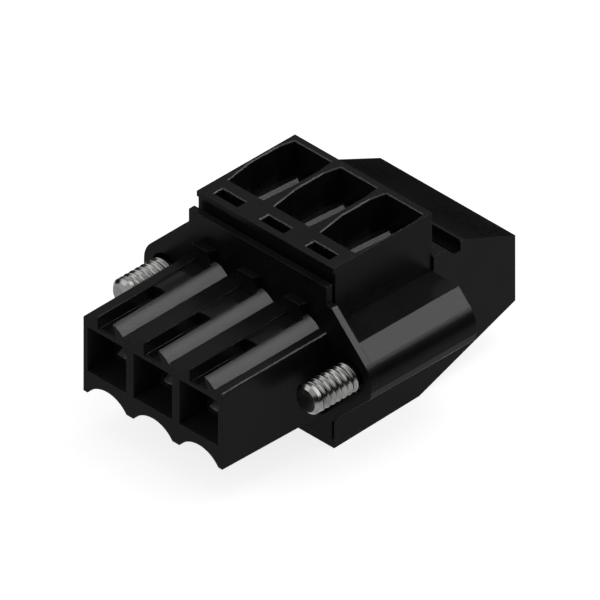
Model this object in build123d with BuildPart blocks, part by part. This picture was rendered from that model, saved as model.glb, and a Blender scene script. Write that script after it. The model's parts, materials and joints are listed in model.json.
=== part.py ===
from build123d import *
from math import cos, radians, sqrt
import os

# Three-pole plug connector with tension clamps and screw flanges.
# Millimetres. X runs across the poles, Y from the mating face to the rear, Z up.
# "depth" is measured from the mating face, "height" from the deck of the mating part.

# pole grid and main sizes
pitch = 5.08
poles = 3
wall_depth = 11.6         # depth at which the front plate starts
rear_length = 21.09
length = wall_depth + rear_length
deck_height = 10.78
pole_xs = [(i - (poles - 1) / 2) * pitch for i in range(poles)]
half_row = poles * pitch / 2
running = 0.05            # clearance of parts that slide into each other
bite = 0.2                # how far joined shapes reach into each other

# mating part
mate_margin = 0.065
mate_half = half_row + mate_margin
mate_bottom = -7.19
deck_rise = 0.15          # draft of the deck over the mating part
keel_drop = 0.20          # draft of the underside
scallop_half = 2.15
scallop_rise = 1.10
dome_half = 1.72
dome_rise = 0.77
mate_edge = 0.2

# socket mouths and contact chambers
mouth_half = 2.15
mouth_top = -0.90
mouth_bottom = -5.15
throat_depth = 2.10
throat_half = 1.20
throat_top = -1.75
throat_bottom = -4.35
cell_half = 1.50
pin_height = (throat_top + throat_bottom) / 2

# coding slot in each dome
key_left = -1.04
key_right_top = 0.56
key_right_floor = 1.19
key_floor = -0.57
key_length = 5.96
key_pit_left = -0.97
key_pit_right = 1.05
key_pit_front = 0.28
key_pit_end = 4.44

# front plate with flanges
plate = 0.62
plate_top = 4.45
plate_half = half_row
plate_skirt = 0.44
plate_low_half = half_row + plate_skirt
plate_lift = 0.78         # lower end of the plate over the bottom of the body
plate_low = plate_lift - deck_height
shoulder_top = 2.72
shoulder_round = 0.30
flange_x = (poles + 1) * pitch / 2
flange_z = -2.70
flange_radius = 2.43
flange_drop = 0.50        # upright stretch of the flange side below the screw axis
flange_tuck = 0.16        # how far the side leans in below that stretch
lip_thickness = 0.20      # rim of the plate that closes the lower body
lip_gap = 0.08            # seam between that rim and the rear housing

# hooks on the front plate
hook_left = -1.35
hook_right = 0.43
hook_top = 2.20
hook_fall = 0.20          # the top of the hook falls towards the plate
hook_reach = 0.90
hook_foot = 0.25
hook_foot_reach = 0.60
dip_left = -1.45
dip_right = 0.60
dip_length = 2.75
dip_start = wall_depth - dip_length

# rear housing
body_margin = 0.57
body_taper = 0.72
body_front_half = half_row + body_margin
body_tail_half = body_front_half - body_taper
base_length = 10.02       # level part of the underside
base_end = wall_depth + base_length
tail_low = -7.25
tail_high = -1.07
tail_round = 0.08
tail_length = 5.94        # sloping roof of the hood
crest_depth = length - tail_length
crest_height = 1.58
crest_width = 0.39
hood_front = crest_depth - crest_width
ledge_height = 0.65
ledge_width = 0.64
ledge_front = hood_front - ledge_width
saddle_slope = 0.99
saddle_front = ledge_front - saddle_slope
saddle_height = 1.65      # top between the wire entry block and the groove
groove_wall = 0.18        # side walls of the groove
groove_floor = 0.10
groove_undercut = 0.25
groove_rear = crest_depth + groove_undercut
lip_width = 0.27
lip_front = crest_depth - lip_width
lip_under = 1.18
shelf_height = 0.30
tube_length = 11.65
tube_end = wall_depth + tube_length

# wire entry block
block_margin = 0.05
block_half = half_row - block_margin
block_top = 5.78
block_setback = 1.02
block_front = wall_depth + block_setback
block_overhang = 0.20
block_lip_front = block_front - block_overhang
block_lip = 0.50
block_length = 10.68
block_rear = block_front + block_length
# corners of the wells: distances behind the block front, and the walls that they
# leave up to the middle between two poles
well_steps = (2.64, 5.53, 8.55, 10.06)
well_depths = [block_front + step for step in well_steps]
left_walls = (0.76, 0.30, 0.30, 0.64)
right_walls = (0.50, 0.27, 0.27, 0.46)
well_left = [pitch / 2 - wall for wall in left_walls]
well_right = [pitch / 2 - wall for wall in right_walls]
well_floor = 2.42
ramp_steps = (2.98, 5.53, 8.55, 9.96)
ramp_depths = [block_front + step for step in ramp_steps]
ramp_halves = (1.62, 1.85, 1.63, 1.52)
ramp_drop = 0.75          # the ramps fall at 45 degrees
rim_bevel = 0.10
test_half = 1.28
test_setback = 0.55
test_length = 0.93
test_front = block_front + test_setback
test_rear = test_front + test_length

# clamp chambers inside the rear housing
chamber_half = 1.75
floor_wall = 0.83
chamber_floor = floor_wall - deck_height
chamber_roof = 0.90
step_wall = 0.30
chamber_step = block_rear - step_wall
chamber_ledge = -0.20
tail_wall = 0.99
chamber_rear = length - tail_wall
hood_wall = 1.20
boss_length = 1.18
boss_end = wall_depth + plate + boss_length

# contact strip
strip = 0.60
leaf = 0.40
leaf_setback = 0.25
leaf_lead = 0.60
leaf_closing = 2.65
leaf_opening = 3.80
leaf_tail = 0.40
leaf_front = throat_depth + leaf_setback
leaf_neck = leaf_front + leaf_lead
leaf_pinch = leaf_neck + leaf_closing
leaf_root = leaf_pinch + leaf_opening
leaf_base = leaf_root + leaf_tail
leaf_lip = 1.22           # distances of the leaf from the pin axis
leaf_throat = 0.86
leaf_grip = 0.68
leaf_spread = 1.15
riser_gap = 0.20
riser_depth = boss_end + riser_gap + strip / 2
bar_setback = 8.00
bar_depth = wall_depth + bar_setback
bar_top = 0.20
run_height = chamber_floor + strip / 2 + running
bend = 0.90

# steel clip round the contact leaves
clip = 0.25
clip_setback = 0.65
clip_band = 1.20
clip_tail = 0.60
clip_front = leaf_neck + clip_setback
clip_band_rear = leaf_root - clip_tail
clip_band_front = clip_band_rear - clip_band
clip_half = cell_half - running
clip_reach = leaf_spread + leaf / 2 + running
strip_gap = 0.10
strip_half = clip_half - clip - strip_gap
cell_room_top = 0.20
cell_room_low = 0.15
cell_top = pin_height + clip_reach + clip + cell_room_top
cell_bottom = pin_height - clip_reach - clip - cell_room_low

# tension spring
spring = 0.40
spring_gap = 0.20
spring_half = chamber_half - spring_gap
spring_bend = 0.80
leg_foot = -6.0
loop_top = chamber_ledge - running - spring / 2
loop_length = 2.60
loop_rear = bar_depth + loop_length
heel_gap = 2.70
heel_depth = chamber_rear - heel_gap
heel_height = -6.4
window_height = -7.5
window_frame = 0.45
window_half = spring_half - window_frame
window_length = 1.60
window_rear = bar_depth + window_length
window_cut = 1.0
bar_gap = 0.10
bar_half = window_half - bar_gap

# captive flange screws (M2.5)
screw_radius = 1.25
screw_reach = 4.85        # how far the screw stands out of the plate
screw_tip = wall_depth - screw_reach
screw_tip_bevel = 0.35
thread_length = 4.75
thread_end = screw_tip + thread_length
shank_radius = 1.02
guide_radius = 1.25
guide_setback = 2.60
guide_length = 6.40
guide_front = wall_depth + guide_setback
head_radius = 1.90
head_length = 2.00
head_front = guide_front + guide_length
head_rear = head_front + head_length
slot_width = 0.60
slot_deep = 0.85
hole_gap = 0.27
plate_hole = screw_radius + hole_gap
head_gap = 0.10
head_bore = head_radius + head_gap
seat_depth = head_front - running


def y_at(depth):
    return depth - length / 2


def z_at(height):
    return deck_height + height


def cross(depth):
    """Plane across the plug at a depth; its normal looks to the front."""
    return Plane.XZ.offset(-y_at(depth))


def side(points):
    return [(y_at(d), z_at(h)) for d, h in points]


def slab(x0, x1, d0, d1, h0, h1, mode=Mode.ADD):
    """Box given by its limits across, in depth and in height."""
    with Locations(((x0 + x1) / 2, y_at((d0 + d1) / 2), z_at((h0 + h1) / 2))):
        Box(x1 - x0, d1 - d0, h1 - h0, mode=mode)


def rod(x, d0, d1, radius, mode=Mode.ADD):
    """Cylinder along Y on a flange screw axis."""
    with BuildSketch(cross(d0)) as ring:
        with Locations((x, z_at(flange_z))):
            Circle(radius)
    extrude(ring.sketch, amount=-(d1 - d0), mode=mode)


def well_outline(x, height, depths, left, right):
    """Outline of a wire well, level at a height."""
    corners = [(x - w, y_at(d)) for w, d in zip(left, depths)]
    corners += [(x + w, y_at(d)) for w, d in zip(right[::-1], depths[::-1])]
    with BuildSketch(Plane.XY.offset(z_at(height))) as outline:
        with BuildLine():
            Polyline(*corners, close=True)
        make_face()
    return outline.sketch


def mate_section(depth, top, bottom):
    """Outline of the mating part: domes on the deck, scallops below."""
    with BuildSketch(cross(depth)) as section:
        with BuildLine():
            here = (-mate_half, z_at(top))
            for x in pole_xs:
                dome_start = (x - dome_half, z_at(top))
                dome_end = (x + dome_half, z_at(top))
                Line(here, dome_start)
                ThreePointArc(dome_start, (x, z_at(top + dome_rise)), dome_end)
                here = dome_end
            Polyline(here, (mate_half, z_at(top)), (mate_half, z_at(bottom)))
            here = (mate_half, z_at(bottom))
            for x in reversed(pole_xs):
                start = (x + scallop_half, z_at(bottom))
                end = (x - scallop_half, z_at(bottom))
                Line(here, start)
                ThreePointArc(start, (x, z_at(bottom + scallop_rise)), end)
                here = end
            Polyline(here, (-mate_half, z_at(bottom)), (-mate_half, z_at(top)))
        make_face()
    return section.sketch


# 45 degree lines over and under the flange round: x + height and x - height
# are constant along them
tangent_top = flange_x + flange_z + flange_radius * sqrt(2)
tangent_low = flange_x - flange_z + flange_radius * sqrt(2)


def flange_section(depth, top_points, low_points):
    """Closed outline through both flanges; the points are given for +X."""
    k = flange_radius * cos(radians(45))
    nose_x = flange_x + flange_radius
    upper = (flange_x + k, z_at(flange_z + k))
    turn = (flange_x + flange_radius * cos(radians(22.5)),
            z_at(flange_z + flange_radius * cos(radians(67.5))))
    nose = (nose_x, z_at(flange_z))
    right_side = [nose, (nose_x, z_at(flange_z - flange_drop)),
                  (nose_x - flange_tuck, z_at(nose_x - flange_tuck - tangent_low))]
    right_side += [(x, z_at(h)) for x, h in low_points]
    right_top = [(x, z_at(h)) for x, h in top_points]
    with BuildSketch(cross(depth)) as section:
        with BuildLine():
            Polyline(*[(-x, z) for x, z in right_top[::-1]], *right_top, upper)
            ThreePointArc(upper, turn, nose)
            Polyline(*right_side, *[(-x, z) for x, z in right_side[::-1]])
            ThreePointArc((-nose[0], nose[1]), (-turn[0], turn[1]),
                          (-upper[0], upper[1]))
            Line((-upper[0], upper[1]),
                 (-right_top[-1][0], right_top[-1][1]))
        make_face()
    return section.sketch


os.makedirs("parts", exist_ok=True)


# front housing: mating part, front plate and flanges in one moulding
with BuildPart() as front_housing:
    loft([mate_section(0, 0, mate_bottom).face(),
          mate_section(wall_depth, deck_rise,
                       mate_bottom - keel_drop).face()])
    side_edges = front_housing.edges().filter_by(
        lambda e: abs(abs(e.center().X) - mate_half) < 0.01
        and e.bounding_box().size.Y > wall_depth / 2)
    fillet(side_edges.group_by(Axis.Z)[-1], radius=mate_edge)

    extrude(flange_section(
        wall_depth,
        [(plate_half, plate_top), (plate_half, shoulder_top),
         (tangent_top - shoulder_top, shoulder_top)],
        [(plate_low_half, plate_low_half - tangent_low),
         (plate_low_half, plate_low)]), amount=-plate)
    shoulder_edges = front_housing.edges().filter_by(Axis.Y).filter_by(
        lambda e: abs(abs(e.center().X) - tangent_top + shoulder_top) < 0.01
        and abs(e.center().Z - z_at(shoulder_top)) < 0.01)
    fillet(shoulder_edges, radius=shoulder_round)
    slab(-plate_low_half, plate_low_half, wall_depth + lip_thickness,
         wall_depth + plate, plate_low, plate_low_half - tangent_low,
         mode=Mode.SUBTRACT)

    for x in pole_xs:
        # boss that closes the clamp chamber and holds the contact strip
        slab(x - chamber_half + running, x + chamber_half - running,
             wall_depth + lip_thickness, boss_end,
             chamber_floor + running, chamber_roof - running)
        # hook over the rear end of the dome
        with BuildSketch(Plane.YZ.offset(x + hook_left)):
            with BuildLine():
                Polyline(*side([(wall_depth, hook_top - hook_fall),
                                (wall_depth - hook_reach, hook_top),
                                (wall_depth - hook_foot_reach, hook_foot),
                                (wall_depth, hook_foot)]), close=True)
            make_face()
        extrude(amount=hook_right - hook_left)

    for x in pole_xs:
        # lead-in funnel and contact chamber
        with BuildSketch(cross(0)):
            with Locations((x, z_at((mouth_top + mouth_bottom) / 2))):
                Rectangle(2 * mouth_half, mouth_top - mouth_bottom)
        with BuildSketch(cross(throat_depth)):
            with Locations((x, z_at(pin_height))):
                Rectangle(2 * throat_half, throat_top - throat_bottom)
        loft(mode=Mode.SUBTRACT)
        slab(x - cell_half, x + cell_half, throat_depth, boss_end, cell_bottom,
             cell_top, mode=Mode.SUBTRACT)
        # coding slot: open to the front, undercut on its right side
        with BuildSketch(cross(0)):
            with BuildLine():
                Polyline((x + key_left, z_at(key_floor)),
                         (x + key_left, z_at(dome_rise * 2)),
                         (x + key_right_top - dome_rise, z_at(dome_rise * 2)),
                         (x + key_right_top, z_at(dome_rise)),
                         (x + key_right_floor, z_at(key_floor)), close=True)
            make_face()
        extrude(amount=-key_length, mode=Mode.SUBTRACT)
        slab(x + key_pit_left, x + key_pit_right, key_pit_front, key_pit_end,
             cell_top - running, key_floor, mode=Mode.SUBTRACT)
        # dip under the hook
        slab(x + dip_left, x + dip_right, dip_start,
             wall_depth - hook_foot_reach, deck_rise, 2 * dome_rise,
             mode=Mode.SUBTRACT)

    for x in (-flange_x, flange_x):
        rod(x, wall_depth, wall_depth + plate, plate_hole, mode=Mode.SUBTRACT)

front_housing.part.label = "front_housing"
export_step(front_housing.part, "parts/front_housing.step")


# rear housing: lower body, hood, screw tubes and wire entry block
body_start = wall_depth + lip_thickness + lip_gap
tail_slope = (crest_height - tail_high) / (length - crest_depth)
base_slope = (tail_low + deck_height) / (length - base_end)
roof_turn = crest_depth + hood_wall
groove_half = (body_front_half - groove_wall
               - (body_front_half - body_tail_half)
               * (groove_rear - wall_depth) / (length - wall_depth))
with BuildPart() as rear_housing:
    with BuildSketch(Plane.YZ):
        with BuildLine():
            Polyline(*side([
                (body_start, -deck_height),
                (base_end, -deck_height),
                (length, tail_low),
                (length, tail_high),
                (crest_depth, crest_height),
                (hood_front, crest_height),
                (hood_front, ledge_height),
                (ledge_front, ledge_height),
                (saddle_front, saddle_height),
                (block_rear, saddle_height),
                (block_rear, shelf_height),
                (wall_depth + plate, shelf_height),
                (wall_depth + plate, plate_low_half - tangent_low),
                (body_start, plate_low_half - tangent_low)]),
                close=True)
        make_face()
    extrude(amount=body_front_half, both=True)
    with BuildSketch(Plane.XY):
        with BuildLine():
            Polyline((-body_front_half, y_at(wall_depth)),
                     (body_front_half, y_at(wall_depth)),
                     (body_tail_half, y_at(length)),
                     (-body_tail_half, y_at(length)), close=True)
        make_face()
    extrude(amount=z_at(block_top), mode=Mode.INTERSECT)
    tail_edges = rear_housing.edges().group_by(Axis.Y)[-1]
    fillet(tail_edges, radius=tail_round)

    # tubes for the flange screws
    extrude(flange_section(
        wall_depth + plate, [(tangent_top - shelf_height, shelf_height)],
        [(body_front_half - bite, body_front_half - bite - tangent_low)]),
        amount=-(tube_end - wall_depth - plate))

    # wire entry block with its overhanging top plate
    slab(-block_half, block_half, block_front, block_rear,
         shelf_height - bite, block_top)
    slab(-block_half, block_half, block_lip_front, block_rear,
         block_top - block_lip, block_top)

    # groove under the lip of the hood
    with BuildSketch(Plane.YZ):
        with BuildLine():
            Polyline(*side([
                (saddle_front, groove_floor),
                (groove_rear, groove_floor),
                (groove_rear, lip_under),
                (lip_front, lip_under),
                (lip_front, 2 * crest_height),
                (saddle_front, 2 * crest_height)]), close=True)
        make_face()
    extrude(amount=groove_half, both=True, mode=Mode.SUBTRACT)

    for x in pole_xs:
        # barrel shaped well, ramps at its foot and neck
        extrude(well_outline(x, block_top, well_depths, well_left, well_right),
                amount=-(block_top - well_floor), mode=Mode.SUBTRACT)
        neck_halves = [half - ramp_drop for half in ramp_halves]
        neck = well_outline(x, well_floor - ramp_drop, ramp_depths, neck_halves,
                            neck_halves)
        loft([well_outline(x, well_floor, ramp_depths, ramp_halves,
                           ramp_halves).face(), neck.face()],
             ruled=True, mode=Mode.SUBTRACT)
        extrude(neck, amount=-(well_floor - ramp_drop - chamber_ledge),
                mode=Mode.SUBTRACT)
        # test slot down to the contact strip
        slab(x - test_half, x + test_half, test_front, test_rear,
             chamber_ledge, block_top, mode=Mode.SUBTRACT)
        # clamp chamber
        with BuildSketch(Plane.YZ.offset(x - chamber_half)):
            with BuildLine():
                Polyline(*side([
                    (wall_depth, chamber_floor),
                    (base_end, chamber_floor),
                    (chamber_rear, chamber_floor
                     + base_slope * (chamber_rear - base_end)),
                    (chamber_rear, chamber_ledge
                     - tail_slope * (chamber_rear - roof_turn)),
                    (roof_turn, chamber_ledge),
                    (chamber_step, chamber_ledge),
                    (chamber_step, chamber_roof),
                    (wall_depth, chamber_roof)]), close=True)
            make_face()
        extrude(amount=2 * chamber_half, mode=Mode.SUBTRACT)
        # way in for the tool that opens the clamp
        slab(x - chamber_half, x + chamber_half, saddle_front, lip_front,
             chamber_ledge, groove_floor, mode=Mode.SUBTRACT)

    rims = rear_housing.edges().filter_by(
        lambda e: abs(e.center().Z - z_at(block_top)) < 0.01
        and abs(e.center().X) < block_half - rim_bevel
        and y_at(block_front) < e.center().Y < y_at(block_rear) - rim_bevel)
    chamfer(rims, length=rim_bevel)

    for x in (-flange_x, flange_x):
        rod(x, wall_depth + plate, guide_front, plate_hole,
            mode=Mode.SUBTRACT)
        rod(x, guide_front, seat_depth, guide_radius + running,
            mode=Mode.SUBTRACT)
        rod(x, seat_depth, tube_end, head_bore, mode=Mode.SUBTRACT)

rear_housing.part.label = "rear_housing"
export_step(rear_housing.part, "parts/rear_housing.step")


def leaf_points(sign):
    """Centre line of one contact leaf, above or below the pin axis."""
    return side([(leaf_front, pin_height + sign * leaf_lip),
                 (leaf_neck, pin_height + sign * leaf_throat),
                 (leaf_pinch, pin_height + sign * leaf_grip),
                 (leaf_root, pin_height + sign * leaf_spread),
                 (leaf_base + strip / 2, pin_height + sign * leaf_spread)])


for number, x in enumerate(pole_xs, 1):
    # copper strip: two leaves, base, riser, bottom run and current bar
    with BuildPart() as contact:
        for sign in (-1, 1):
            with BuildSketch(Plane.YZ.offset(x)):
                with BuildLine():
                    Polyline(*leaf_points(sign))
                trace(line_width=leaf)
            extrude(amount=strip_half, both=True)
        slab(x - strip_half, x + strip_half, leaf_base,
             leaf_base + strip, pin_height - leaf_spread - leaf / 2,
             pin_height + leaf_spread + leaf / 2)
        with BuildSketch(Plane.YZ.offset(x)):
            with BuildLine():
                FilletPolyline(*side([
                    (leaf_base + strip / 2, pin_height - leaf_spread),
                    (riser_depth, pin_height - leaf_spread),
                    (riser_depth, run_height),
                    (bar_depth, run_height),
                    (bar_depth, bar_top)]), radius=bend)
            trace(line_width=strip)
        extrude(amount=bar_half, both=True)
    contact.part.label = f"contact_{number}"
    export_step(contact.part, f"parts/contact_{number}.step")

    # steel clip that presses the two leaves on to the pin
    with BuildPart() as clip_spring:
        slab(x - clip_half, x + clip_half, clip_band_front, clip_band_rear,
             pin_height - clip_reach - clip,
             pin_height + clip_reach + clip)
        slab(x - clip_half + clip, x + clip_half - clip, clip_band_front,
             clip_band_rear, pin_height - clip_reach, pin_height + clip_reach,
             mode=Mode.SUBTRACT)
        for sign in (-1, 1):
            with BuildSketch(Plane.YZ.offset(x)):
                with BuildLine():
                    Polyline(*side([
                        (clip_front, pin_height + sign * leaf_lip),
                        (leaf_pinch, pin_height
                         + sign * (leaf_grip + leaf / 2 + clip)),
                        (clip_band_front + clip, pin_height
                         + sign * (clip_reach + clip / 2))]))
                trace(line_width=clip)
            extrude(amount=strip_half, both=True)
    clip_spring.part.label = f"contact_clip_{number}"
    export_step(clip_spring.part, f"parts/contact_clip_{number}.step")

    # cage spring: flat leg on the bar, loop to the rear, window round the bar
    leg_depth = bar_depth + strip / 2 + running + spring / 2
    window_front = bar_depth - strip / 2 - running
    with BuildPart() as cage_spring:
        with BuildSketch(Plane.YZ.offset(x)):
            with BuildLine():
                FilletPolyline(*side([
                    (leg_depth, leg_foot),
                    (leg_depth, loop_top),
                    (loop_rear, loop_top),
                    (heel_depth, heel_height),
                    (window_front - 2 * spring, window_height)]),
                    radius=spring_bend)
            trace(line_width=spring)
        extrude(amount=spring_half, both=True)
        slab(x - window_half, x + window_half, window_front, window_rear,
             window_height - window_cut, window_height + window_cut,
             mode=Mode.SUBTRACT)
    cage_spring.part.label = f"cage_spring_{number}"
    export_step(cage_spring.part, f"parts/cage_spring_{number}.step")


for name, x in (("left", -flange_x), ("right", flange_x)):
    with BuildPart() as screw:
        rod(x, screw_tip, thread_end, screw_radius)
        chamfer(screw.edges().group_by(Axis.Y)[0], length=screw_tip_bevel)
        rod(x, thread_end, guide_front, shank_radius)
        rod(x, guide_front, head_front, guide_radius)
        rod(x, head_front, head_rear, head_radius)
        slab(x - slot_width / 2, x + slot_width / 2, head_rear - slot_deep,
             head_rear, flange_z - head_radius, flange_z + head_radius,
             mode=Mode.SUBTRACT)
    screw.part.label = f"flange_screw_{name}"
    export_step(screw.part, f"parts/flange_screw_{name}.step")
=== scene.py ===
import json
from math import cos, pi, radians, sin

import bpy
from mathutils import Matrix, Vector

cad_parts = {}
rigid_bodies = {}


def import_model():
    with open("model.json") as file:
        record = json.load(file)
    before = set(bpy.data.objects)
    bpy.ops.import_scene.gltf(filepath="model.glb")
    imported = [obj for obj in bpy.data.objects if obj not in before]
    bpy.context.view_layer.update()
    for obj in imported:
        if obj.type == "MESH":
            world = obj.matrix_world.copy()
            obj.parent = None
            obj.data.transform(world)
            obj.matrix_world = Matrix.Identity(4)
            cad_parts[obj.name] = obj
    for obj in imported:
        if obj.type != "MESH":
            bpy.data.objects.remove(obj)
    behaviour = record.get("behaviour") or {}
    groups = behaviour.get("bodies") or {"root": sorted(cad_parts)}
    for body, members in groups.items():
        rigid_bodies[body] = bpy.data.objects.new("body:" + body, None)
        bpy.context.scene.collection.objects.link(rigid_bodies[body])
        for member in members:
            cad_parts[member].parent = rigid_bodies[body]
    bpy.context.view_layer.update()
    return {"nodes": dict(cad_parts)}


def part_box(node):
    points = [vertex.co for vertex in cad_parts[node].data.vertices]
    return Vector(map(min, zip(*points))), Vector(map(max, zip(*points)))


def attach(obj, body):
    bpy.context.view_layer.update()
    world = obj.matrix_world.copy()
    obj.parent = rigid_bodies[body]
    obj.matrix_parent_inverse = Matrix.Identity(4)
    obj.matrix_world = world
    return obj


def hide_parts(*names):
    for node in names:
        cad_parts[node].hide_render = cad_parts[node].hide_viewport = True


# Three-pole plug connector: black moulded housings, captive flange screws, clamp metal inside.
# Metres. X runs across the poles, Y from the mating face to the rear, Z up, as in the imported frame.

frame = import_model()
scene = bpy.context.scene
mm = 0.001
mergeDistance = 0.001 * mm      # points closer than this become one


# small helpers

def deselectAll():
    for item in bpy.data.objects:
        item.select_set(False)
    bpy.context.view_layer.objects.active = None


def pick(*items):
    deselectAll()
    for item in items:
        item.select_set(True)
    bpy.context.view_layer.objects.active = items[0]


def nameNewest(name):
    item = bpy.context.object
    item.name = name
    item.data.name = name
    return item


def applyPlace(item):
    pick(item)
    bpy.ops.object.transform_apply(location=True, rotation=True, scale=True)


def applyModifier(item, kind, **settings):
    pick(item)
    modifier = item.modifiers.new(kind.lower(), kind)
    for key, value in settings.items():
        setattr(modifier, key, value)
    bpy.ops.object.modifier_apply(modifier=modifier.name)


def cutBy(item, cutter, operation):
    # the second mesh is used up
    applyModifier(item, "BOOLEAN", object=cutter, operation=operation, solver="EXACT")
    bpy.data.objects.remove(cutter)


def smoothPiece(item, angle):
    pick(item)
    bpy.ops.object.shade_smooth_by_angle(angle=radians(angle))


# shader groups

def newGroup(name, inputs, outputs):
    group = bpy.data.node_groups.new(name, "ShaderNodeTree")
    for label, kind, value in inputs:
        socket = group.interface.new_socket(name=label, in_out="INPUT", socket_type=kind)
        socket.default_value = value
    for label, kind in outputs:
        group.interface.new_socket(name=label, in_out="OUTPUT", socket_type=kind)
    return group, group.nodes.new("NodeGroupInput"), group.nodes.new("NodeGroupOutput")


def addNode(tree, kind, sockets=None, **settings):
    # links a socket where one is given, and fills in a plain value otherwise
    node = tree.nodes.new(kind)
    for key, value in settings.items():
        setattr(node, key, value)
    for key, value in (sockets or {}).items():
        if isinstance(value, bpy.types.NodeSocket):
            tree.links.new(value, node.inputs[key])
        else:
            node.inputs[key].default_value = value
    return node


def makeMouldGrain():
    # spark-eroded mould texture: two grain sizes, with slow cloudy changes of tone and gloss
    group, given, result = newGroup(
        "mouldGrain",
        [("Fine Scale", "NodeSocketFloat", 9000.0), ("Cloud Scale", "NodeSocketFloat", 260.0),
         ("Dark Tone", "NodeSocketColor", (0.003, 0.003, 0.003, 1)),
         ("Light Tone", "NodeSocketColor", (0.006, 0.006, 0.006, 1)),
         ("Gloss Low", "NodeSocketFloat", 0.26), ("Gloss High", "NodeSocketFloat", 0.3)],
        [("Color", "NodeSocketColor"), ("Roughness", "NodeSocketFloat"),
         ("Height", "NodeSocketFloat")])
    low, high = 0.36, 0.64      # most of the blended noise lies between these
    place = addNode(group, "ShaderNodeTexCoord").outputs["Object"]
    fine = addNode(group, "ShaderNodeTexNoise", {
        "Vector": place, "Scale": given.outputs["Fine Scale"], "Detail": 3.0, "Roughness": 0.6})
    cloud = addNode(group, "ShaderNodeTexNoise", {
        "Vector": place, "Scale": given.outputs["Cloud Scale"], "Detail": 4.0})
    blend = addNode(group, "ShaderNodeMix", {
        "Factor": 0.35, "A": cloud.outputs["Fac"], "B": fine.outputs["Fac"]}, data_type="FLOAT")
    spread = addNode(group, "ShaderNodeMapRange", {
        "Value": blend.outputs["Result"], "From Min": low, "From Max": high})
    tone = addNode(group, "ShaderNodeMix", {
        "Factor": spread.outputs["Result"], "A": given.outputs["Dark Tone"],
        "B": given.outputs["Light Tone"]}, data_type="RGBA")
    gloss = addNode(group, "ShaderNodeMapRange", {
        "Value": blend.outputs["Result"], "From Min": low, "From Max": high,
        "To Min": given.outputs["Gloss Low"], "To Max": given.outputs["Gloss High"]})
    group.links.new(tone.outputs["Result"], result.inputs["Color"])
    group.links.new(gloss.outputs["Result"], result.inputs["Roughness"])
    group.links.new(fine.outputs["Fac"], result.inputs["Height"])
    return group


def makeSoftEdge():
    # rounds the look of outer edges and masks them; inner corners, which see less sky, stay sharp
    group, given, result = newGroup(
        "softEdge",
        [("Radius", "NodeSocketFloat", 0.0001), ("Gain", "NodeSocketFloat", 3.0)],
        [("Normal", "NodeSocketVector"), ("Mask", "NodeSocketFloat")])
    rounded = addNode(group, "ShaderNodeBevel", {"Radius": given.outputs["Radius"]}, samples=6)
    flat = addNode(group, "ShaderNodeNewGeometry")
    room = addNode(group, "ShaderNodeAmbientOcclusion", {
        "Distance": given.outputs["Radius"]}, samples=6)
    outer = addNode(group, "ShaderNodeMapRange", {
        "Value": room.outputs["AO"], "From Min": 0.75, "From Max": 0.97})
    normal = addNode(group, "ShaderNodeMix", {
        "Factor": outer.outputs["Result"], "A": flat.outputs["Normal"],
        "B": rounded.outputs["Normal"]}, data_type="VECTOR")
    along = addNode(group, "ShaderNodeVectorMath", {
        0: normal.outputs["Result"], 1: flat.outputs["Normal"]}, operation="DOT_PRODUCT")
    away = addNode(group, "ShaderNodeMath", {0: 1.0, 1: along.outputs["Value"]},
                   operation="SUBTRACT")
    mask = addNode(group, "ShaderNodeMath", {
        0: away.outputs["Value"], 1: given.outputs["Gain"]}, operation="MULTIPLY", use_clamp=True)
    group.links.new(normal.outputs["Result"], result.inputs["Normal"])
    group.links.new(mask.outputs["Value"], result.inputs["Mask"])
    return group


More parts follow.
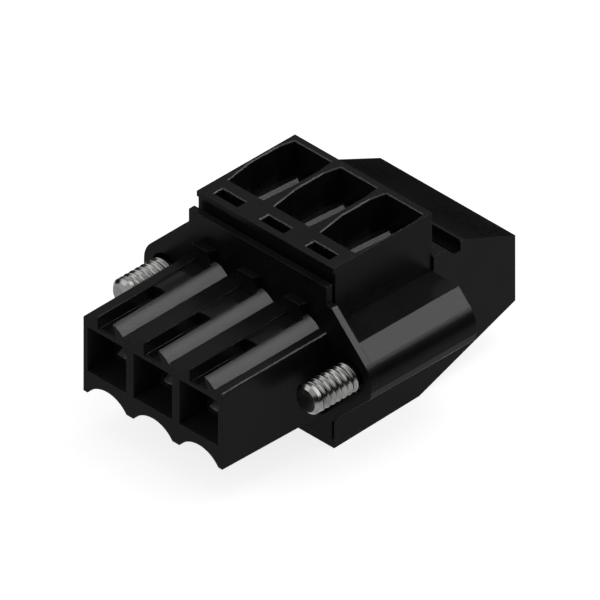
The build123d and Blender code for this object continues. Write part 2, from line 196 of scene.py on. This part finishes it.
def makeWornMetalWithGrooveShade():
    # drawn or turned metal: fine lines across one axis, soft tarnish, and painted shade that darkens
    # the grooves
    group, given, result = newGroup(
        "wornMetalWithGrooveShade",
        [("Line Scale", "NodeSocketVector", (300.0, 9000.0, 300.0)),
         ("Clean", "NodeSocketColor", (0.4, 0.4, 0.4, 1)),
         ("Dull", "NodeSocketColor", (0.3, 0.3, 0.3, 1)),
         ("Groove Shade", "NodeSocketColor", (0.06, 0.06, 0.06, 1)),
         ("Groove Width", "NodeSocketFloat", 0.0003),
         ("Tarnish Scale", "NodeSocketFloat", 900.0),
         ("Gloss Low", "NodeSocketFloat", 0.2), ("Gloss High", "NodeSocketFloat", 0.3)],
        [("Color", "NodeSocketColor"), ("Roughness", "NodeSocketFloat"),
         ("Height", "NodeSocketFloat")])
    place = addNode(group, "ShaderNodeTexCoord").outputs["Object"]
    drawn = addNode(group, "ShaderNodeVectorMath", {
        0: place, 1: given.outputs["Line Scale"]}, operation="MULTIPLY")
    lines = addNode(group, "ShaderNodeTexNoise", {
        "Vector": drawn.outputs["Vector"], "Scale": 1.0, "Detail": 4.0, "Roughness": 0.65})
    tarnish = addNode(group, "ShaderNodeTexNoise", {
        "Vector": place, "Scale": given.outputs["Tarnish Scale"], "Detail": 5.0})
    spread = addNode(group, "ShaderNodeMapRange", {
        "Value": tarnish.outputs["Fac"], "From Min": 0.4, "From Max": 0.66})
    tone = addNode(group, "ShaderNodeMix", {
        "Factor": spread.outputs["Result"], "A": given.outputs["Clean"],
        "B": given.outputs["Dull"]}, data_type="RGBA")
    gloss = addNode(group, "ShaderNodeMapRange", {
        "Value": lines.outputs["Fac"], "From Min": 0.35, "From Max": 0.65,
        "To Min": given.outputs["Gloss Low"], "To Max": given.outputs["Gloss High"]})
    # painted shade: ambient occlusion darkens grooves and hollows towards a dark tone
    room = addNode(group, "ShaderNodeAmbientOcclusion", {
        "Distance": given.outputs["Groove Width"]}, samples=8)
    clear = addNode(group, "ShaderNodeMapRange", {
        "Value": room.outputs["AO"], "From Min": 0.45, "From Max": 0.9})
    grooveShaded = addNode(group, "ShaderNodeMix", {
        "Factor": clear.outputs["Result"], "A": given.outputs["Groove Shade"],
        "B": tone.outputs["Result"]}, data_type="RGBA")
    group.links.new(grooveShaded.outputs["Result"], result.inputs["Color"])
    group.links.new(gloss.outputs["Result"], result.inputs["Roughness"])
    group.links.new(lines.outputs["Fac"], result.inputs["Height"])
    return group


mouldGrain = makeMouldGrain()
softEdge = makeSoftEdge()
wornMetalWithGrooveShade = makeWornMetalWithGrooveShade()


def placeGroup(tree, group, values):
    node = tree.nodes.new("ShaderNodeGroup")
    node.node_tree = group
    for key, value in values.items():
        node.inputs[key].default_value = value
    return node


def newMaterial(name):
    material = bpy.data.materials.new(name)
    material.use_nodes = True
    tree = material.node_tree
    tree.nodes.clear()
    return material, tree, tree.nodes.new("ShaderNodeOutputMaterial")


# materials

plasticLook = {
    "tones": ((0.0032, 0.0033, 0.0034, 1), (0.0056, 0.0057, 0.0059, 1)),
    "edgeWearAndHighlightTone": (0.030, 0.030, 0.0305, 1),   # rubbed edges, lightened further as a painted highlight along them
    "gloss": (0.265, 0.295),    # roughness where the grain is low and high
    "shine": 0.04,
    "edgeRadius": 0.045 * mm,
    "fineScale": 9000.0,        # both grains, in waves to the metre
    "cloudScale": 260.0,
    "grainDepth": 0.001 * mm,
}

# painted shade on metals: the dark tone of the grooves and how far it reaches, with the tarnish size
tarnishAndGrooveShade = {"grooveShadeTone": (0.06, 0.06, 0.06, 1), "grooveWidth": 0.3 * mm, "tarnishScale": 900.0}

metalLooks = {
    "screwSteel": {"clean": (0.25, 0.247, 0.242, 1), "dull": (0.16, 0.157, 0.153, 1),
                   "gloss": (0.20, 0.30), "lines": (400.0, 14000.0, 400.0),
                   "lineDepth": 0.0006 * mm, "edge": 0.03 * mm},
    "tinnedCopper": {"clean": (0.50, 0.47, 0.42, 1), "dull": (0.38, 0.34, 0.29, 1),
                     "gloss": (0.30, 0.38), "lines": (36000.0, 1200.0, 1200.0),
                     "lineDepth": 0.0001 * mm, "edge": 0.04 * mm},
    "springSteel": {"clean": (0.38, 0.38, 0.39, 1), "dull": (0.26, 0.26, 0.27, 1),
                    "gloss": (0.24, 0.32), "lines": (40000.0, 1200.0, 1200.0),
                    "lineDepth": 0.0001 * mm, "edge": 0.03 * mm},
}


def makePlastic(name, look):
    material, tree, output = newMaterial(name)
    grain = placeGroup(tree, mouldGrain, {
        "Fine Scale": look["fineScale"], "Cloud Scale": look["cloudScale"],
        "Dark Tone": look["tones"][0], "Light Tone": look["tones"][1],
        "Gloss Low": look["gloss"][0], "Gloss High": look["gloss"][1]})
    edge = placeGroup(tree, softEdge, {"Radius": look["edgeRadius"]})
    # outer edges are lightened towards this tone: rubbed edges, and a painted highlight along them
    tone = addNode(tree, "ShaderNodeMix", {
        "Factor": edge.outputs["Mask"], "A": grain.outputs["Color"], "B": look["edgeWearAndHighlightTone"]},
        data_type="RGBA")
    bump = addNode(tree, "ShaderNodeBump", {
        "Strength": 1.0, "Distance": look["grainDepth"], "Height": grain.outputs["Height"],
        "Normal": edge.outputs["Normal"]})
    shader = addNode(tree, "ShaderNodeBsdfPrincipled", {
        "Base Color": tone.outputs["Result"], "Roughness": grain.outputs["Roughness"],
        "Specular IOR Level": look["shine"], "Normal": bump.outputs["Normal"]})
    tree.links.new(shader.outputs["BSDF"], output.inputs["Surface"])
    return material


def makeMetal(name, look):
    material, tree, output = newMaterial(name)
    wearAndGrooveShade = placeGroup(tree, wornMetalWithGrooveShade, {
        "Line Scale": look["lines"], "Clean": look["clean"], "Dull": look["dull"],
        "Groove Shade": tarnishAndGrooveShade["grooveShadeTone"], "Groove Width": tarnishAndGrooveShade["grooveWidth"],
        "Tarnish Scale": tarnishAndGrooveShade["tarnishScale"],
        "Gloss Low": look["gloss"][0], "Gloss High": look["gloss"][1]})
    edge = placeGroup(tree, softEdge, {"Radius": look["edge"]})
    bump = addNode(tree, "ShaderNodeBump", {
        "Strength": 1.0, "Distance": look["lineDepth"], "Height": wearAndGrooveShade.outputs["Height"],
        "Normal": edge.outputs["Normal"]})
    shader = addNode(tree, "ShaderNodeBsdfPrincipled", {
        "Base Color": wearAndGrooveShade.outputs["Color"], "Roughness": wearAndGrooveShade.outputs["Roughness"],
        "Metallic": 1.0, "Normal": bump.outputs["Normal"]})
    tree.links.new(shader.outputs["BSDF"], output.inputs["Surface"])
    return material


blackPolyamide = makePlastic("blackPolyamide", plasticLook)
metals = {name: makeMetal(name, look) for name, look in metalLooks.items()}

nodeFinishes = {                # by node, or by its name without the last word
    "front_housing": blackPolyamide,
    "rear_housing": blackPolyamide,
    "contact": metals["tinnedCopper"],
    "contact_clip": metals["springSteel"],
    "cage_spring": metals["springSteel"],
    "flange_screw": metals["screwSteel"],
}


def dressNodes():
    for nodeName in frame["nodes"]:
        item = bpy.data.objects[nodeName]
        family = nodeName if nodeName in nodeFinishes else nodeName.rsplit("_", 1)[0]
        item.data.materials.clear()
        item.data.materials.append(nodeFinishes[family])


dressNodes()
print("materials on the packed nodes")


# flange screws: rolled thread, undercut shank, guide, slotted head

flangeScrew = {
    "threadPitch": 0.60 * mm,
    "crest": 1.34 * mm,         # crests stand a little over the 2.5 mm of the plain solid
    "root": 1.10 * mm,
    "tipRadius": 1.32 * mm,     # plain collar in front of the thread
    "tipLength": 0.65 * mm,
    "tipBevel": 0.30 * mm,
    "threadLength": 4.75 * mm,  # with the collar
    "threadLap": 0.10 * mm,     # both ends of the thread lie this far inside their neighbours
    "shankRadius": 1.02 * mm,
    "shankLap": 0.30 * mm,      # and the shank starts this far inside the thread
    "shankEnd": 7.45 * mm,      # distances from the tip
    "guideRadius": 1.25 * mm,
    "guideBevel": 0.15 * mm,
    "guideEnd": 13.85 * mm,
    "headRadius": 1.90 * mm,
    "headEnd": 15.85 * mm,
    "headBevel": 0.12 * mm,
    "slotWidth": 0.60 * mm,
    "slotDepth": 0.85 * mm,
    "steps": 40,
}


def drawProfile(name, points):
    # a line of vertices drawn one after the other, as the start of a turned shape
    deselectAll()
    bpy.ops.mesh.primitive_plane_add(size=mm)
    profile = nameNewest(name)
    bpy.ops.object.mode_set(mode="EDIT")
    bpy.ops.mesh.select_all(action="SELECT")
    bpy.ops.mesh.merge(type="CENTER")
    here = Vector(points[0])
    bpy.ops.transform.translate(value=here)
    for point in points[1:]:
        step = Vector(point) - here
        bpy.ops.mesh.extrude_vertices_move(TRANSFORM_OT_translate={"value": step})
        here = Vector(point)
    bpy.ops.object.mode_set(mode="OBJECT")
    return profile


def turnProfile(name, points, steps):
    # points hold radius and length along the Y axis
    turned = drawProfile(name, [(radius, along, 0) for radius, along in points])
    bpy.ops.object.mode_set(mode="EDIT")
    bpy.ops.mesh.select_all(action="SELECT")
    bpy.ops.mesh.spin(steps=steps, angle=2 * pi, center=(0, 0, 0), axis=(0, 1, 0))
    bpy.ops.mesh.select_all(action="SELECT")
    bpy.ops.mesh.remove_doubles(threshold=mergeDistance)
    bpy.ops.mesh.normals_make_consistent(inside=False)
    bpy.ops.object.mode_set(mode="OBJECT")
    return turned


def makeThread(size):
    # round valleys, wider than the crests between them
    pitch, root = size["threadPitch"], size["root"]
    depth = size["crest"] - root
    start = -2 * pitch          # spare turns at both ends, cut off below
    turns = int((size["threadLength"] - 2 * start) / pitch)
    # one turn in section: share of the depth, and share of the pitch
    wave = [(0, 0), (0.05, 0.14), (0.24, 0.26), (0.62, 0.36), (0.92, 0.44), (1, 0.50),
            (0.92, 0.56), (0.62, 0.64), (0.24, 0.74), (0.05, 0.86), (0, 1)]
    thread = drawProfile("screwThread", [
        (root + share * depth, start + along * pitch, 0) for share, along in wave])
    applyModifier(thread, "SCREW", axis="Y", screw_offset=pitch, iterations=turns,
                  steps=size["steps"], render_steps=size["steps"], use_merge_vertices=True,
                  merge_threshold=mergeDistance)
    bpy.ops.object.mode_set(mode="EDIT")
    bpy.ops.mesh.select_all(action="SELECT")
    bpy.ops.mesh.remove_doubles(threshold=mergeDistance)
    lap = size["threadLap"]
    for along, outward in ((size["tipLength"] - lap, (0, -1, 0)),
                           (size["threadLength"] - lap, (0, 1, 0))):
        bpy.ops.mesh.select_all(action="SELECT")
        bpy.ops.mesh.bisect(plane_co=(0, along, 0), plane_no=outward, use_fill=True,
                            clear_outer=True, threshold=0.0001 * mm)
    bpy.ops.mesh.select_all(action="SELECT")
    bpy.ops.mesh.normals_make_consistent(inside=False)
    bpy.ops.object.mode_set(mode="OBJECT")
    return thread


def makeFlangeScrew(size):
    thread = makeThread(size)
    bevel, radius = size["tipBevel"], size["tipRadius"]
    collar = turnProfile("screwTip", [
        (0, 0), (radius - bevel, 0), (radius, bevel), (radius, size["tipLength"]),
        (0, size["tipLength"])], size["steps"])
    cutBy(thread, collar, "UNION")
    shank, guide, head = size["shankRadius"], size["guideRadius"], size["headRadius"]
    shankStart = size["threadLength"] - size["shankLap"]
    taper, edge = size["guideBevel"], size["headBevel"]
    rear = turnProfile("screwRear", [
        (0, shankStart), (shank, shankStart), (shank, size["shankEnd"]),
        (guide - taper, size["shankEnd"]), (guide, size["shankEnd"] + taper),
        (guide, size["guideEnd"]), (head - edge, size["guideEnd"]),
        (head, size["guideEnd"] + edge), (head, size["headEnd"] - edge),
        (head - edge, size["headEnd"]), (0, size["headEnd"])], size["steps"])
    cutBy(thread, rear, "UNION")
    deselectAll()
    bpy.ops.mesh.primitive_cube_add(size=1, location=(0, size["headEnd"], 0))
    slotCutter = nameNewest("slotCutter")
    slotCutter.scale = (size["slotWidth"], 2 * size["slotDepth"], 2.4 * head)   # past the rim
    applyPlace(slotCutter)
    cutBy(thread, slotCutter, "DIFFERENCE")
    smoothPiece(thread, 32)
    return thread


screwMaster = makeFlangeScrew(flangeScrew)
for sideName in ("left", "right"):
    low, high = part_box(f"flange_screw_{sideName}")
    pick(screwMaster)
    bpy.ops.object.duplicate()
    screw = nameNewest(f"captive_screw_{sideName}")
    screw.location = ((low.x + high.x) / 2, low.y, (low.z + high.z) / 2)
    applyPlace(screw)
    screw.data.materials.clear()
    screw.data.materials.append(metals["screwSteel"])
    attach(screw, f"screw_{sideName}")
    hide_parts(f"flange_screw_{sideName}")
bpy.data.objects.remove(screwMaster)
print("flange screws threaded")


# studio: white table, cards and soft boxes

photoCamera = {
    "azimuth": 45.0,            # degrees, from the mating face towards the right side
    "elevation": 35.0,
    "target": (-0.000031, -0.000031, 0.00792),
    "pictureWidth": 0.04695,
    "distance": 0.5,
    "clip": (0.01, 5.0),
}

boxDistance = 0.5
softBoxes = {                   # a sheen box only draws gloss on the housings
    "keyBox": {"toward": (0.30, 0.58, 0.75), "size": 0.50, "radiance": 1.7},
    "fillBox": {"toward": (-0.574, -0.579, 0.579), "size": 0.35, "radiance": 1.2},
    "overheadBox": {"toward": (0.0, 0.0, 1.0), "size": 0.40, "radiance": 1.0},
    "keySheen": {"toward": (0.35, 0.58, 0.735), "size": 0.38, "radiance": 26.0, "sheen": True},
    "fillSheen": {"toward": (-0.574, -0.579, 0.579), "size": 0.22, "radiance": 14.0,
                  "sheen": True},
}

# the lift brings the table up to white for rays that see it directly
tableLook = {"tone": (0.32, 0.32, 0.32, 1), "lift": 0.82, "size": 6.0, "drop": 0.02 * mm}
skyLook = {"seen": 1.0, "ambient": 0.35}
darkCards = {"radius": 0.045, "height": 0.022, "sides": 48, "tone": (0.02, 0.02, 0.02, 1)}


def makeCamera(view):
    azimuth, elevation = radians(view["azimuth"]), radians(view["elevation"])
    back = Vector((sin(azimuth) * cos(elevation), -cos(azimuth) * cos(elevation),
                   sin(elevation)))
    deselectAll()
    bpy.ops.object.camera_add(location=Vector(view["target"]) + back * view["distance"],
                              rotation=(-back).to_track_quat("-Z", "Y").to_euler())
    camera = nameNewest("photoCamera")
    camera.data.type = "ORTHO"
    camera.data.ortho_scale = view["pictureWidth"]
    camera.data.clip_start, camera.data.clip_end = view["clip"]
    scene.camera = camera


def makeSoftBox(name, box, target, housings):
    toward = Vector(box["toward"]).normalized()
    deselectAll()
    bpy.ops.object.light_add(type="AREA", location=Vector(target) + toward * boxDistance,
                             rotation=(-toward).to_track_quat("-Z", "Y").to_euler())
    light = nameNewest(name)
    light.data.shape = "SQUARE"
    light.data.size = box["size"]
    light.data.energy = box["radiance"] * pi * box["size"] ** 2   # watts for that radiance
    if box.get("sheen"):
        # unshadowed, so that the gloss also shows behind the block and in the wells
        light.visible_diffuse = False
        light.data.use_shadow = False
        light.data.cycles.use_multiple_importance_sampling = False
        light.light_linking.receiver_collection = housings


def makeCards(look):
    # dark cards round the table, as is usual for black goods, so that level gloss stays dark
    deselectAll()
    bpy.ops.mesh.primitive_cylinder_add(vertices=look["sides"], radius=look["radius"],
                                        depth=look["height"], end_fill_type="NOTHING",
                                        location=(0, 0, look["height"] / 2))
    cards = nameNewest("darkCards")
    applyPlace(cards)
    material, tree, output = newMaterial("blackCard")
    paper = addNode(tree, "ShaderNodeBsdfDiffuse", {"Color": look["tone"]})
    tree.links.new(paper.outputs[0], output.inputs["Surface"])
    cards.data.materials.append(material)
    cards.visible_camera = False
    cards.visible_shadow = False
    cards.visible_diffuse = False


def backgroundRays(tree):
    # 1 for rays that see the background directly, in a reflection or through glass
    rays = addNode(tree, "ShaderNodeLightPath")
    sharp = addNode(tree, "ShaderNodeMath", {
        0: rays.outputs["Is Camera Ray"], 1: rays.outputs["Is Glossy Ray"]}, operation="MAXIMUM")
    return addNode(tree, "ShaderNodeMath", {
        0: sharp.outputs["Value"], 1: rays.outputs["Is Transmission Ray"]},
        operation="MAXIMUM").outputs["Value"]


def makeTable(look):
    deselectAll()
    bpy.ops.mesh.primitive_plane_add(size=look["size"], location=(0, 0, -look["drop"]))
    table = nameNewest("tableTop")
    applyPlace(table)
    material, tree, output = newMaterial("whiteTable")
    paper = addNode(tree, "ShaderNodeBsdfDiffuse", {"Color": look["tone"]})
    lift = addNode(tree, "ShaderNodeMath", {
        0: backgroundRays(tree), 1: look["lift"]}, operation="MULTIPLY")
    glow = addNode(tree, "ShaderNodeEmission", {"Strength": lift.outputs["Value"]})
    both = addNode(tree, "ShaderNodeAddShader", {0: paper.outputs[0], 1: glow.outputs[0]})
    tree.links.new(both.outputs[0], output.inputs["Surface"])
    table.data.materials.append(material)


def makeSky(look):
    world = bpy.data.worlds.new("whiteRoom")
    world.use_nodes = True
    scene.world = world
    tree = world.node_tree
    tree.nodes.clear()
    strength = addNode(tree, "ShaderNodeMapRange", {
        "Value": backgroundRays(tree), "To Min": look["ambient"], "To Max": look["seen"]})
    sky = addNode(tree, "ShaderNodeBackground", {
        "Color": (1, 1, 1, 1), "Strength": strength.outputs["Result"]})
    output = tree.nodes.new("ShaderNodeOutputWorld")
    tree.links.new(sky.outputs[0], output.inputs["Surface"])


housings = bpy.data.collections.new("housings")
for nodeName in ("front_housing", "rear_housing"):
    housings.objects.link(bpy.data.objects[nodeName])
makeCamera(photoCamera)
for boxName, box in softBoxes.items():
    makeSoftBox(boxName, box, photoCamera["target"], housings)
makeTable(tableLook)
makeCards(darkCards)
makeSky(skyLook)
scene.view_settings.view_transform = "Standard"
print("studio set")
